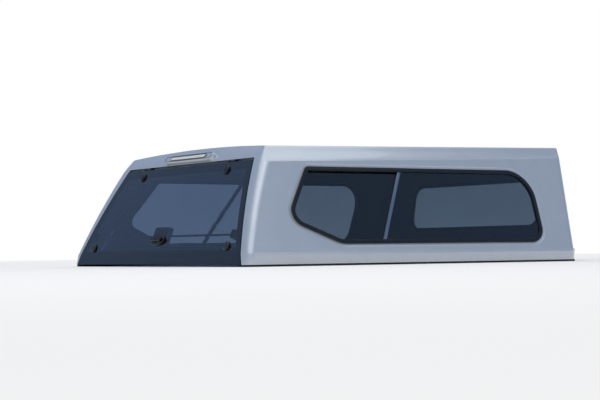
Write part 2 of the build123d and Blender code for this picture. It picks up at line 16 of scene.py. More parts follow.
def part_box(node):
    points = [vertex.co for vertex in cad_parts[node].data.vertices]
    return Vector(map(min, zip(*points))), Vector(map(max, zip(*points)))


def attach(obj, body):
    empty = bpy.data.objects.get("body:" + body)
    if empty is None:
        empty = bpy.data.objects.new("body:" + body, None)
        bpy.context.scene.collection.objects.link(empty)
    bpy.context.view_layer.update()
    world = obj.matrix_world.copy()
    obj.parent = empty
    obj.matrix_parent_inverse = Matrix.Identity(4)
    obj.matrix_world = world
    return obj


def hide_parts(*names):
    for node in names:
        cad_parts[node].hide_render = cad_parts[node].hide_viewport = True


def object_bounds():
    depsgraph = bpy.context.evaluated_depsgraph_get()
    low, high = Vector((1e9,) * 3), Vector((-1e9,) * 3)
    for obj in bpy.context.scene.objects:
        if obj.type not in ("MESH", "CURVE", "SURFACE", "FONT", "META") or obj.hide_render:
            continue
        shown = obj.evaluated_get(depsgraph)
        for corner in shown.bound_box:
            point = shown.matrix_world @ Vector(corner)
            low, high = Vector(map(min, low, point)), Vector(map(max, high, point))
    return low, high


bl_info = {
    "name": "Pickup canopy",
    "version": (1, 0, 0),
    "blender": (4, 5, 0),
    "location": "View3D > Sidebar > Canopy",
    "description": "Finishes a moulded pickup canopy and its glass door in a plain studio",
    "category": "Object",
}

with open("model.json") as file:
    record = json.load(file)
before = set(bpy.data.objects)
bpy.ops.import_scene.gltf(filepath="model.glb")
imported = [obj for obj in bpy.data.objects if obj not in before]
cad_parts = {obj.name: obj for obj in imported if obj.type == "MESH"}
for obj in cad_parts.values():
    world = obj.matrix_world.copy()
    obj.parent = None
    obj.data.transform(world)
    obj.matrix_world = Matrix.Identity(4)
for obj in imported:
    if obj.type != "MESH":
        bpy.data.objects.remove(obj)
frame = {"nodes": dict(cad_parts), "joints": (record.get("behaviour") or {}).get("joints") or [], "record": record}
cad_low, cad_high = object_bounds()
middle = (cad_low + cad_high) / 2
nodes = frame["nodes"]
joints = {joint["name"]: joint for joint in frame["joints"]}
node_slots = {part["node"]: part["material_slot"] for part in frame["record"]["subparts"]}
node_bodies = {
    node: body
    for body, members in frame["record"]["behaviour"]["bodies"].items()
    for node in members
}
sides = {"right": 1, "left": -1}

MM = 0.001
UP = Vector((0.0, 0.0, 1.0))
WHITE = (1.0, 1.0, 1.0, 1.0)
# Faces whose normals agree to this cosine belong to one flat side
FLAT = 0.97
# A Mix node that is set to colours is reached by the numbers of its sockets
FACTOR, FIRST, SECOND, MIXED = 0, 6, 7, 2


# Colours and settings that a user would change


class CanopyFinishes(PropertyGroup):
    """Colours as sRGB hex values."""

    paint: StringProperty(
        name="Paint", description="Silver base coat under the clear coat", default="AAB2BC"
    )
    paint_flake: StringProperty(
        name="Flake", description="Brighter aluminium flake in the base coat", default="CDD4DC"
    )
    inner_coat: StringProperty(
        name="Inner coat", description="Flow coat on the inside of the moulding", default="55585C"
    )
    inner_fleck: StringProperty(
        name="Inner fleck", description="Pale fleck in the flow coat", default="8B8F94"
    )
    felt: StringProperty(name="Felt", description="Roof lining", default="3A3C40")
    rubber: StringProperty(name="Rubber", description="Seals", default="17181A")
    frame_black: StringProperty(
        name="Frame", description="Powder coat on the window frames", default="0F1114"
    )
    anodised: StringProperty(
        name="Mullion", description="Anodised aluminium between the panes", default="8C97A3"
    )
    plastic: StringProperty(name="Plastic", description="Moulded caps and handle", default="0C0D0F")
    steel_black: StringProperty(
        name="Black steel", description="Brackets, latches and strut tubes", default="1B1C1E"
    )
    steel: StringProperty(name="Steel", description="Strut rods and strikers", default="C9CBCE")
    lock: StringProperty(name="Lock", description="Barrel of the lock", default="3A3B3E")
    side_tint: StringProperty(
        name="Side tint", description="Tint of the side and front panes", default="8E9BA7"
    )
    rear_tint: StringProperty(
        name="Rear tint", description="Tint of the door glass", default="8B9AB3"
    )
    lens: StringProperty(name="Lens", description="Lens of the brake light", default="F1F4F8")


class CanopySizes(PropertyGroup):
    """Sizes of what is added to the frame."""

    body_edge: FloatProperty(
        name="Body edge", description="Soft edge of the moulding", default=2.0 * MM, unit="LENGTH"
    )
    side_lean: FloatProperty(
        name="Side lean", description="Inward lean of the side walls, as a slope", default=0.38
    )
    ledge_height: FloatProperty(
        name="Ledge",
        description="Height of the ledge above the skirt",
        default=54 * MM,
        unit="LENGTH",
    )
    ledge_step: FloatProperty(
        name="Ledge step", description="How far the skirt stands out", default=6 * MM, unit="LENGTH"
    )
    ledge_drop: FloatProperty(
        name="Ledge drop", description="Fall of the sloped ledge", default=9 * MM, unit="LENGTH"
    )
    cove_radius: FloatProperty(
        name="Cove radius", description="Cove round a side window", default=30 * MM, unit="LENGTH"
    )
    cove_depth: FloatProperty(
        name="Cove depth",
        description="How deep the cove goes into the wall",
        default=3.2 * MM,
        unit="LENGTH",
    )
    frame_proud: FloatProperty(
        name="Frame proud",
        description="How far a window frame stands on the wall",
        default=2 * MM,
        unit="LENGTH",
    )
    fold_height: FloatProperty(
        name="Fold",
        description="Height of the fold of the door glass",
        default=52 * MM,
        unit="LENGTH",
    )
    glass_half_top: FloatProperty(
        name="Glass half width",
        description="Half width of the door glass at its head",
        default=535 * MM,
        unit="LENGTH",
    )
    glass_lean: FloatProperty(
        name="Glass lean",
        description="Lean of the door glass from upright",
        default=radians(23.77),
        unit="ROTATION",
    )
    frit: FloatProperty(
        name="Border",
        description="Black printed border of the door glass",
        default=36 * MM,
        unit="LENGTH",
    )
    trim_screws: IntProperty(
        name="Trim screws", description="Screws in each inner window trim", default=14
    )
    screw_radius: FloatProperty(
        name="Screw radius", description="Head of a trim screw", default=3.6 * MM, unit="LENGTH"
    )
    screw_inset: FloatProperty(
        name="Screw inset",
        description="From the edge of a trim to the middle of a screw",
        default=6 * MM,
        unit="LENGTH",
    )
    nut_across: FloatProperty(
        name="Nut", description="Hinge nut across its flats", default=10 * MM, unit="LENGTH"
    )
    lock_radius: FloatProperty(
        name="Lock radius", description="Barrel of the lock", default=5.5 * MM, unit="LENGTH"
    )


class CanopyStudio(PropertyGroup):
    """Floor, lamps and camera."""

    floor_radius: FloatProperty(
        name="Floor", description="Radius of the floor", default=30.0, unit="LENGTH"
    )
    fade_start: FloatProperty(
        name="Fade start", description="Where the floor begins to fade", default=2.0, unit="LENGTH"
    )
    fade_end: FloatProperty(
        name="Fade end", description="Where the floor is all white", default=9.0, unit="LENGTH"
    )
    floor_tone: StringProperty(
        name="Floor tone", description="Colour of the floor", default="E9EAEC"
    )
    sky_tone: StringProperty(
        name="Sky tone", description="What glass and paint reflect from above", default="7F98BE"
    )
    zenith_tone: StringProperty(
        name="Zenith tone",
        description="What ledges and the roof reflect from overhead",
        default="D0D9E4",
    )
    world_light: FloatProperty(
        name="World light", description="Strength of the world as light", default=0.75
    )
    camera_place: FloatVectorProperty(
        name="Camera",
        description="Where the camera stands",
        default=(6.0666, -4.0625, 0.060),
        subtype="TRANSLATION",
    )
    camera_azimuth: FloatProperty(
        name="Azimuth", description="Aim to the left of +Y", default=radians(57.09), unit="ROTATION"
    )
    camera_pitch: FloatProperty(
        name="Pitch", description="Aim above level", default=radians(1.76), unit="ROTATION"
    )
    camera_roll: FloatProperty(
        name="Roll", description="Tilt of the picture", default=radians(0.71), unit="ROTATION"
    )
    camera_lens: FloatProperty(
        name="Lens", description="Focal length on a 36 mm sensor", default=98.6, unit="CAMERA"
    )


# Small tools


def settings(kind):
    """One of the three groups of settings, by its name."""
    return getattr(bpy.context.scene, "canopy_" + kind)


def deselect():
    """Leaves edit mode and selects nothing."""
    if bpy.context.mode != "OBJECT":
        bpy.ops.object.mode_set(mode="OBJECT")
    bpy.ops.object.select_all(action="DESELECT")


def activate(*pieces):
    """Selects only these pieces, and makes the first active."""
    deselect()
    for piece in pieces:
        piece.select_set(True)
    bpy.context.view_layer.objects.active = pieces[0]


def named(name):
    """Names the active piece and its mesh."""
    piece = bpy.context.object
    piece.name = name
    piece.data.name = name
    return piece


def settle(piece):
    """Takes the piece's place, turn and scale into its mesh."""
    activate(piece)
    bpy.ops.object.transform_apply(location=True, rotation=True, scale=True)


def aim(piece, direction, axis="Z"):
    """Turns a piece so that one of its axes looks along a direction."""
    piece.rotation_mode = "QUATERNION"
    piece.rotation_quaternion = direction.to_track_quat(axis, "Y")


def choose(piece, test):
    """In edit mode, selects the faces for which the test is true."""
    activate(piece)
    bpy.ops.object.mode_set(mode="EDIT")
    bpy.ops.mesh.select_mode(type="FACE")
    bpy.ops.mesh.select_all(action="DESELECT")
    bpy.ops.object.mode_set(mode="OBJECT")
    for face in piece.data.polygons:
        face.select = test(face)
    bpy.ops.object.mode_set(mode="EDIT")


def on_top(face):
    """True for a face that looks up."""
    return face.normal.z > 0.9


def step(inset, rise):
    """Insets the chosen faces and lifts them, or sinks them where the rise is below zero."""
    bpy.ops.mesh.inset(thickness=inset)
    bpy.ops.mesh.extrude_region_move(TRANSFORM_OT_translate={"value": (0, 0, rise)})


def modify(piece, kind, **values):
    """Adds a modifier and applies it."""
    activate(piece)
    bpy.ops.object.modifier_add(type=kind)
    modifier = piece.modifiers[-1]
    for name, value in values.items():
        setattr(modifier, name, value)
    bpy.ops.object.modifier_apply(modifier=modifier.name)


def smooth(piece, angle=30):
    """Smooth shading with sharp edges past an angle in degrees."""
    activate(piece)
    bpy.ops.object.shade_smooth_by_angle(angle=radians(angle))


def finish_piece(piece, body, slot, *finishes):
    """Settles the piece, gives it its finishes and fixes it to its body."""
    settle(piece)
    piece.data.materials.clear()
    for finish in finishes:
        piece.data.materials.append(finish)
    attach(piece, body)
    return piece


def merged_copy(node, name):
    """A copy of a node's mesh with its loose triangles merged into flat faces."""
    mesh = nodes[node].data.copy()
    piece = bpy.data.objects.new(name, mesh)
    bpy.context.scene.collection.objects.link(piece)
    mesh.name = name
    activate(piece)
    bpy.ops.mesh.customdata_custom_splitnormals_clear()
    bpy.ops.object.mode_set(mode="EDIT")
    bpy.ops.mesh.select_all(action="SELECT")
    bpy.ops.mesh.remove_doubles(threshold=0.002 * MM)
    bpy.ops.mesh.dissolve_limited(angle_limit=radians(0.5))
    bpy.ops.object.mode_set(mode="OBJECT")
    return piece


def round_edges(piece, edge, angle=35, segments=2):
    """Rounds the edges of a piece that are sharper than an angle in degrees."""
    modify(
        piece,
        "BEVEL",
        width=edge,
        segments=segments,
        limit_method="ANGLE",
        angle_limit=radians(angle),
        miter_outer="MITER_ARC",
    )
    smooth(piece)


def softened(node, name, edge, angle=35, segments=2):
    """A merged copy of a node with its sharp edges rounded, in the node's place."""
    piece = merged_copy(node, name)
    round_edges(piece, edge, angle, segments)
    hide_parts(node)
    return piece


def outermost(node, direction):
    """A test for the flat faces of a node that lie furthest in a direction."""
    slack = 0.3 * MM
    reach = max(corner.co.dot(direction) for corner in nodes[node].data.vertices) - slack
    return lambda face: face.normal.dot(direction) > FLAT and face.center.dot(direction) > reach


def outline(node, name, test):
    """The outer edge of the chosen faces of a node, as a closed wire."""
    wire = merged_copy(node, name)
    # Only the chosen faces stay
    choose(wire, test)
    bpy.ops.mesh.select_all(action="INVERT")
    bpy.ops.mesh.delete(type="FACE")
    # Then only their border, without a face inside it
    bpy.ops.mesh.select_all(action="SELECT")
    bpy.ops.mesh.region_to_loop()
    bpy.ops.mesh.select_all(action="INVERT")
    bpy.ops.mesh.delete(type="EDGE_FACE")
    bpy.ops.mesh.select_all(action="SELECT")
    bpy.ops.mesh.delete(type="ONLY_FACE")
    # And of its loops only the largest
    bpy.ops.mesh.select_all(action="SELECT")
    bpy.ops.mesh.separate(type="LOOSE")
    bpy.ops.object.mode_set(mode="OBJECT")
    loops = sorted(bpy.context.selected_objects, key=lambda loop: loop.dimensions.length)
    for loop in loops[:-1]:
        bpy.data.objects.remove(loop)
    loops[-1].name = name
    return loops[-1]


def bead(wire, radius, roundness=3):
    """Turns a wire into a round bead."""
    activate(wire)
    bpy.ops.object.convert(target="CURVE")
    wire.data.bevel_depth = radius
    wire.data.bevel_resolution = roundness
    bpy.ops.object.convert(target="MESH")
    smooth(wire, 60)
    return wire


def carve(piece, cutter):
    """Cuts one piece with another, which is used up."""
    modify(piece, "BOOLEAN", object=cutter, operation="DIFFERENCE", solver="EXACT")
    bpy.data.objects.remove(cutter)


def side_normal(side):
    """Square to the leaning wall of a side, outwards."""
    return Vector((sides[side], 0.0, settings("sizes").side_lean)).normalized()


def joint_place(name):
    """Where a joint stands at rest."""
    return Vector(joints[name]["pos_m"])


# Materials

# Every finish by a short name, once make_materials has run
materials = {}
# Which finish each material slot of the record takes
slot_finishes = {
    "body_paint": "paint",
    "roof_lining": "felt",
    "black_rubber": "seal",
    "black_frame": "frame",
    "inner_trim": "frame",
    "grey_mullion": "mullion",
    "side_glass": "side_glass",
    "rear_glass": "rear_glass",
    "clear_lens": "lens",
    "black_plastic": "plastic",
    "black_steel": "black",
    "bright_steel": "steel",
}


def linear(colour):
    """An sRGB hex value as linear red, green, blue and alpha."""
    values = [int(colour[i : i + 2], 16) / 255 for i in (0, 2, 4)]
    return (*[v / 12.92 if v <= 0.04045 else ((v + 0.055) / 1.055) ** 2.4 for v in values], 1.0)


def shaded(tone, factor):
    """A linear colour made darker or paler by a factor."""
    return (*[min(1.0, factor * channel) for channel in tone[:3]], 1.0)


def add(tree, kind, inputs, output=0, to=None, **values):
    """Adds a node with its settings, sets or links its inputs, and gives one of its outputs,
    which is linked on where a socket is named."""
    made = tree.nodes.new(kind)
    for name, value in values.items():
        setattr(made, name, value)
    for name, value in inputs.items():
        if isinstance(value, bpy.types.NodeSocket):
            tree.links.new(value, made.inputs[name])
        else:
            made.inputs[name].default_value = value
    if to:
        tree.links.new(made.outputs[output], to)
    return made.outputs[output]


def start(name, **sockets):
    """A new material, its tree, its shader with these sockets set, and Object coordinates."""
    material = bpy.data.materials.new(name)
    material.use_nodes = True
    tree = material.node_tree
    shader = tree.nodes["Principled BSDF"]
    for socket, value in sockets.items():
        shader.inputs[socket.replace("_", " ")].default_value = value
    return material, tree, shader, add(tree, "ShaderNodeTexCoord", {}, "Object")


def two_tone(tree, shader, pattern, low, high, span=(0.0, 1.0)):
    """Colours the surface from one tone to the other where a pattern goes over its span."""
    factor = add(
        tree, "ShaderNodeMapRange", {"Value": pattern, "From Min": span[0], "From Max": span[1]}
    )
    add(
        tree,
        "ShaderNodeMix",
        {FACTOR: factor, FIRST: low, SECOND: high},
        MIXED,
        shader.inputs["Base Color"],
        data_type="RGBA",
    )


def metallic_paint():
    """Automotive base coat and clear coat: the aluminium flake gives a soft sheen, and the
    clear coat lays a sharp gloss over it."""
    tones = settings("finishes")
    material, tree, shader, place = start(
        "metallic clear-coated paint",
        Metallic=0.5,
        Coat_Weight=1.0,
        Coat_Roughness=0.04,
        Coat_IOR=1.5,
    )
    # Real flakes are 0.02 mm; these are 0.8 mm, the finest that show
    cells = {"Vector": place, "Scale": 1 / (0.8 * MM)}
    flakes = add(tree, "ShaderNodeTexVoronoi", cells, "Color")
    glint = add(tree, "ShaderNodeMapRange", {"Value": flakes, "From Min": 0.2, "To Max": 0.34})
    silver = add(
        tree,
        "ShaderNodeMix",
        {FACTOR: glint, FIRST: linear(tones.paint), SECOND: linear(tones.paint_flake)},
        MIXED,
        data_type="RGBA",
    )
    # The gun leaves the flake a little uneven, in clouds about 60 mm across
    cloud = add(tree, "ShaderNodeTexNoise", {"Vector": place, "Scale": 1 / (60 * MM)})
    drift = {"Value": cloud, "From Min": 0.3, "From Max": 0.7, "To Max": 0.10}
    uneven = add(tree, "ShaderNodeMapRange", drift)
    add(
        tree,
        "ShaderNodeMix",
        {FACTOR: uneven, FIRST: silver, SECOND: linear(tones.paint_flake)},
        MIXED,
        shader.inputs["Base Color"],
        data_type="RGBA",
    )
    gloss = {"Value": flakes, "From Min": 0.2, "To Min": 0.40, "To Max": 0.30}
    add(tree, "ShaderNodeMapRange", gloss, to=shader.inputs["Roughness"])
    # Orange peel of the sprayed clear coat, about 7 mm from crest to crest
    waves = {"Vector": place, "Scale": 1 / (7 * MM), "Detail": 1.0}
    relief = {"Height": add(tree, "ShaderNodeTexNoise", waves), "Distance": 0.012 * MM}
    add(tree, "ShaderNodeBump", relief, to=shader.inputs["Coat Normal"])
    return material


def flow_coat():
    """Flecked flow coat rolled on the laminate: matt and pebbled, with pale specks."""
    tones = settings("finishes")
    material, tree, shader, place = start("flecked flow coat", Roughness=0.62)
    flecks = {"Vector": place, "Scale": 1 / (2.2 * MM), "Detail": 3.0, "Roughness": 0.7}
    fleck = add(tree, "ShaderNodeTexNoise", flecks)
    two_tone(tree, shader, fleck, linear(tones.inner_coat), linear(tones.inner_fleck), (0.56, 0.62))
    stipple = {"Vector": place, "Scale": 1 / (5 * MM), "Detail": 3.0}
    pebbles = add(tree, "ShaderNodeTexNoise", stipple)
    relief = {"Height": pebbles, "Distance": 0.35 * MM, "Strength": 0.8}
    add(tree, "ShaderNodeBump", relief, to=shader.inputs["Normal"])
    return material


def felt_lining():
    """Needled polyester felt: short crossing fibres with a soft sheen."""
    tone = linear(settings("finishes").felt)
    material, tree, shader, place = start(
        "needled felt", Roughness=0.95, Sheen_Weight=0.5, Sheen_Roughness=0.6
    )
    crossing = []
    for stretch in ((1.0, 3.5, 1.0), (3.5, 1.0, 1.0)):
        lengthways = add(tree, "ShaderNodeMapping", {"Vector": place, "Scale": stretch})
        grains = {"Vector": lengthways, "Scale": 1 / (3 * MM), "Detail": 4.0}
        crossing.append(add(tree, "ShaderNodeTexNoise", grains))
    fibres = add(tree, "ShaderNodeMath", dict(enumerate(crossing)), operation="ADD")
    two_tone(tree, shader, fibres, shaded(tone, 0.6), tone, (0.7, 1.2))
    relief = {"Height": fibres, "Distance": 0.5 * MM}
    add(tree, "ShaderNodeBump", relief, to=shader.inputs["Normal"])
    return material


def extruded_rubber():
    """Extruded EPDM: matt black with a fine grain and a grey bloom in patches."""
    tone = linear(settings("finishes").rubber)
    material, tree, shader, place = start("extruded rubber", Specular_IOR_Level=0.35)
    bloom = {"Vector": place, "Scale": 1 / (25 * MM), "Detail": 4.0, "Roughness": 0.6}
    patch = add(tree, "ShaderNodeTexNoise", bloom)
    two_tone(tree, shader, patch, tone, shaded(tone, 1.8), (0.4, 0.7))
    gloss = {"Value": patch, "From Min": 0.4, "From Max": 0.7, "To Min": 0.6, "To Max": 0.8}
    add(tree, "ShaderNodeMapRange", gloss, to=shader.inputs["Roughness"])
    grain = add(tree, "ShaderNodeTexNoise", {"Vector": place, "Scale": 1 / (0.8 * MM)})
    relief = {"Height": grain, "Distance": 0.04 * MM}
    add(tree, "ShaderNodeBump", relief, to=shader.inputs["Normal"])
    return material


def coated_metal(name, colour, roughness, grain):
    """Powder coat on metal: satin black, a little patchy, with a slight orange peel."""
    tone = linear(colour)
    material, tree, shader, place = start(
        name, Specular_IOR_Level=0.35, Coat_Weight=0.1, Coat_Roughness=0.25
    )
    patches = {"Vector": place, "Scale": 1 / (12 * MM), "Detail": 3.0}
    patch = add(tree, "ShaderNodeTexNoise", patches)
    two_tone(tree, shader, patch, tone, shaded(tone, 1.5), (0.4, 0.7))
    gloss = {"Value": patch, "From Min": 0.3, "From Max": 0.7}
    gloss |= {"To Min": roughness - 0.06, "To Max": roughness + 0.08}
    add(tree, "ShaderNodeMapRange", gloss, to=shader.inputs["Roughness"])
    beads = {"Vector": place, "Scale": 1 / grain, "Detail": 1.0}
    relief = {"Height": add(tree, "ShaderNodeTexNoise", beads), "Distance": 0.03 * MM}
    add(tree, "ShaderNodeBump", relief, to=shader.inputs["Normal"])
    return material


def moulded_plastic():
    """Injection-moulded black nylon: a fine spark-eroded texture under a satin gloss."""
    tone = linear(settings("finishes").plastic)
    material, tree, shader, place = start("moulded nylon", IOR=1.53, Specular_IOR_Level=0.3)
    patch = add(tree, "ShaderNodeTexNoise", {"Vector": place, "Scale": 1 / (9 * MM)})
    two_tone(tree, shader, patch, tone, shaded(tone, 1.6))
    gloss = {"Value": patch, "From Min": 0.3, "From Max": 0.7, "To Min": 0.2, "To Max": 0.3}
    add(tree, "ShaderNodeMapRange", gloss, to=shader.inputs["Roughness"])
    spark = add(tree, "ShaderNodeTexNoise", {"Vector": place, "Scale": 1 / (0.5 * MM)})
    relief = {"Height": spark, "Distance": 0.02 * MM}
    add(tree, "ShaderNodeBump", relief, to=shader.inputs["Normal"])
    return material


def bright_metal(name, colour, roughness):
    """Drawn or ground metal: bright, with fine upright lines that spread its highlights."""
    tone = linear(colour)
    material, tree, shader, place = start(name, Metallic=1.0)
    drawn = add(tree, "ShaderNodeMapping", {"Vector": place, "Scale": (1.0, 1.0, 0.05)})
    lines = {"Vector": drawn, "Scale": 1 / (0.6 * MM), "Detail": 3.0, "Roughness": 0.6}
    grain = add(tree, "ShaderNodeTexNoise", lines)
    two_tone(tree, shader, grain, shaded(tone, 0.8), tone)
    gloss = {"Value": grain, "From Min": 0.3, "From Max": 0.7}
    gloss |= {"To Min": roughness - 0.05, "To Max": roughness + 0.07}
    add(tree, "ShaderNodeMapRange", gloss, to=shader.inputs["Roughness"])
    relief = {"Height": grain, "Distance": 0.01 * MM}
    add(tree, "ShaderNodeBump", relief, to=shader.inputs["Normal"])
    return material


def tinted_glass(name, tint):
    """Toughened body-tinted glass: clear and sharp, with the faint waves of its heat treatment."""
    tone = linear(tint)
    material, tree, shader, place = start(
        name, Roughness=0.0, IOR=1.52, Transmission_Weight=1.0, Specular_IOR_Level=0.35
    )
    ripple = {"Vector": place, "Scale": 1 / (180 * MM), "Detail": 1.0}
    wave = add(tree, "ShaderNodeTexNoise", ripple)
    two_tone(tree, shader, wave, shaded(tone, 0.9), tone)
    relief = {"Height": wave, "Distance": 0.08 * MM}
    add(tree, "ShaderNodeBump", relief, to=shader.inputs["Normal"])
    return material


def printed_border():
    """Black ceramic print fired into the inside of the glass: dense black, a little uneven."""
    tones = settings("finishes")
    material, tree, shader, place = start("fired ceramic print", Roughness=0.45)
    ink = add(tree, "ShaderNodeTexNoise", {"Vector": place, "Scale": 1 / (30 * MM)})
    two_tone(tree, shader, ink, linear(tones.plastic), linear(tones.rubber))
    return material


def clear_lens():
    """Clear polycarbonate: fine moulded flutes across it break up the light."""
    material, tree, shader, place = start(
        "fluted polycarbonate", Roughness=0.12, IOR=1.585, Transmission_Weight=0.3
    )
    shader.inputs["Base Color"].default_value = linear(settings("finishes").lens)
    # The wave texture turns by 20 radians to a unit of its scale
    pitch = 2.37 * MM
    ribs = {"Vector": place, "Scale": 2 * pi / (20 * pitch)}
    flutes = add(tree, "ShaderNodeTexWave", ribs, "Fac", wave_type="BANDS", bands_direction="X")
    relief = {"Height": flutes, "Distance": 0.3 * MM}
    add(tree, "ShaderNodeBump", relief, to=shader.inputs["Normal"])
    return material


def make_materials():
    """Makes every finish."""
    tones = settings("finishes")
    materials.update(
        paint=metallic_paint(),
        inner=flow_coat(),
        felt=felt_lining(),
        seal=extruded_rubber(),
        frame=coated_metal("powder-coated aluminium", tones.frame_black, 0.36, 1.2 * MM),
        mullion=bright_metal("anodised aluminium", tones.anodised, 0.34),
        plastic=moulded_plastic(),
        black=coated_metal("powder-coated steel", tones.steel_black, 0.42, 0.9 * MM),
        steel=bright_metal("polished steel", tones.steel, 0.18),
        lock=bright_metal("black-chromed zinc", tones.lock, 0.28),
        side_glass=tinted_glass("tinted glass", tones.side_tint),
        rear_glass=tinted_glass("blue-grey tinted glass", tones.rear_tint),
        border=printed_border(),
        lens=clear_lens(),
    )


def finish_of(node):
    """The finish of a node of the frame, by its slot in the record."""
    return materials[slot_finishes[node_slots[node]]]


# Pieces

# How far each kind of node is rounded. A row takes every node that adds one word to its name,
# so latch takes the latches, the rods and the latch case, which also has a row of its own
rounded = {
    "headliner": 1.5 * MM,
    "base_seal": 2.5 * MM,
    "door_seal": 3.5 * MM,
    "front_window_seal": 2.0 * MM,
    "window_frame": 1.2 * MM,
    "window_trim": 0.8 * MM,
    "window_mullion": 1.0 * MM,
    "brake_light_housing": 1.2 * MM,
    "hinge_bracket": 0.6 * MM,
    "hinge_leaf": 0.6 * MM,
    "hinge_cap": 0.8 * MM,
    "strut_bracket": 0.6 * MM,
    "strut_foot": 0.6 * MM,
    "strut_cylinder": 1.2 * MM,
    "strut_rod": 0.6 * MM,
    "striker": 0.6 * MM,
    "latch": 0.8 * MM,
    "latch_case": 1.5 * MM,
    "handle_base": 0.8 * MM,
    "handle_grip": 0.8 * MM,
}


class CANOPY_OT_finishes(Operator):
    """Gives the frame's own pieces their finishes."""

    bl_idname = "canopy.finishes"
    bl_label = "Finishes"

    def execute(self, context):
        for node in node_slots:
            nodes[node].data.materials.clear()
            nodes[node].data.materials.append(finish_of(node))
        return {"FINISHED"}


def ledge_bar(side):
    """A long bar whose lower face cuts the ledge above the skirt to a slope."""
    sizes = settings("sizes")
    out = sides[side]
    thick = 30 * MM
    longer_than_body = 1.2 * (cad_high.y - cad_low.y)
    lean = atan2(sizes.ledge_drop, sizes.ledge_step)
    edge = Vector((out * (cad_high.x - sizes.ledge_step), 0.0, sizes.ledge_height))
    upward = Vector((out * sin(lean), 0.0, cos(lean)))
    outward = Vector((out * cos(lean), 0.0, -sin(lean)))
    deselect()
    bpy.ops.mesh.primitive_cube_add(size=1.0, scale=(thick, longer_than_body, thick))
    bar = named("ledge_bar")
    bar.rotation_euler = (0.0, out * lean, 0.0)
    bar.location = edge + upward * thick / 2 + outward * thick / 2
    settle(bar)
    return bar


def window_cove(side):
    """A thick bead along the edge of the window frame, raised so that only its underside cuts."""
    sizes = settings("sizes")
    normal = side_normal(side)
    window = f"window_frame_{side}"
    wire = outline(window, "window_cove", outermost(window, normal))
    wire.location += normal * (sizes.cove_radius - sizes.cove_depth - sizes.frame_proud)
    settle(wire)
    return bead(wire, sizes.cove_radius, 10)


class CANOPY_OT_moulding(Operator):
    """Rounds the edges of the moulded body, slopes its ledge and sinks its windows in a cove."""

    bl_idname = "canopy.moulding"
    bl_label = "Moulded body"

    def execute(self, context):
        body = softened("shell", "body_moulding", settings("sizes").body_edge, 24, 3)
        for side in sides:
            carve(body, ledge_bar(side))
            carve(body, window_cove(side))
        smooth(body)
        finish_piece(body, "canopy", "body_paint", materials["paint"], materials["inner"])
        for face in body.data.polygons:
            looks_inward = face.normal.dot(face.center - middle) < 0
            face.material_index = int(looks_inward)
        return {"FINISHED"}


class CANOPY_OT_trim(Operator):
    """Rounds the edges of frames, seals, fittings and struts as they are moulded, bent or cast."""

    bl_idname = "canopy.trim"
    bl_label = "Frames, seals and fittings"

    def execute(self, context):
        for stem, edge in rounded.items():
            for node in [name for name in nodes if stem in (name, name.rsplit("_", 1)[0])]:
                piece = softened(node, node + "_finished", edge)
                finish_piece(piece, node_bodies[node], node_slots[node], finish_of(node))
        return {"FINISHED"}


class CANOPY_OT_door_pane(Operator):
    """Prints the black border on the inside of the door glass."""

    bl_idname = "canopy.door_pane"
    bl_label = "Door glass"

    def execute(self, context):
        sizes = settings("sizes")
        low, high = (Vector(corner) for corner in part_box("door_glass"))
        slope = atan2(high.x - sizes.glass_half_top, high.z - low.z)
        # A place on the border's inner line along each edge, and the way out to that edge
        lines = []
        for out in sides.values():
            outward = Vector((out * cos(slope), 0.0, sin(slope)))
            lines.append((Vector((out * high.x, 0.0, low.z)) - outward * sizes.frit, outward))
        lines.append((Vector((0.0, 0.0, high.z)) - UP * sizes.frit, UP))
        # At the fold the border is only a third as wide
        lines.append((Vector((0.0, 0.0, sizes.fold_height + sizes.frit / 3)), -UP))
        pane = merged_copy("door_glass", "door_pane")
        for place, outward in lines:
            activate(pane)
            bpy.ops.object.mode_set(mode="EDIT")
            bpy.ops.mesh.select_all(action="SELECT")
            bpy.ops.mesh.bisect(plane_co=place, plane_no=outward)
            bpy.ops.object.mode_set(mode="OBJECT")
        smooth(pane)
        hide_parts("door_glass")
        finish_piece(pane, "rear_door", "rear_glass", materials["rear_glass"], materials["border"])
        for face in pane.data.polygons:
            printed = any((face.center - place).dot(outward) > 0 for place, outward in lines)
            inner = face.normal.y > 0.5
            face.material_index = int(printed and inner)
        return {"FINISHED"}


class CANOPY_OT_lamp_gasket(Operator):
    """Lays a black gasket round the lens of the high brake light and round its pod."""

    bl_idname = "canopy.lamp_gasket"
    bl_label = "Brake light gasket"

    def execute(self, context):
        lens_faces = nodes["brake_light_lens"].data.polygons
        rearward = max(lens_faces, key=lambda face: face.area * (face.normal.y < 0)).normal.copy()
        for node, radius in (("brake_light_lens", 1.3 * MM), ("brake_light_housing", 1.0 * MM)):
            wire = outline(node, node + "_gasket", lambda face: face.normal.dot(rearward) > FLAT)
            finish_piece(bead(wire, radius), "canopy", "black_rubber", materials["seal"])
        return {"FINISHED"}


def screw_head(radius):
    """A round screw head with a sunk drive, facing up at the origin."""
    deselect()
    bpy.ops.mesh.primitive_cylinder_add(
        vertices=24, radius=radius, depth=0.8 * radius, location=(0, 0, 0.3 * radius)
    )
    head = named("screw_head")
    settle(head)
    choose(head, on_top)
    step(0.45 * radius, -0.35 * radius)
    bpy.ops.object.mode_set(mode="OBJECT")
    round_edges(head, 0.15 * radius, 50)
    return head


def hexagon_nut(across):
    """A hexagon nut with the end of its bolt, facing up at the origin."""
    deselect()
    bpy.ops.mesh.primitive_cylinder_add(
        vertices=6, radius=across / sqrt(3), depth=0.8 * across, location=(0, 0, 0.3 * across)
    )
    nut = named("hexagon_nut")
    settle(nut)
    round_edges(nut, 0.08 * across, 80, 1)
    choose(nut, on_top)
    # The bore, then the bolt that stands out of it
    step(0.14 * across, -0.1 * across)
    step(0.05 * across, 0.3 * across)
    bpy.ops.object.mode_set(mode="OBJECT")
    return nut


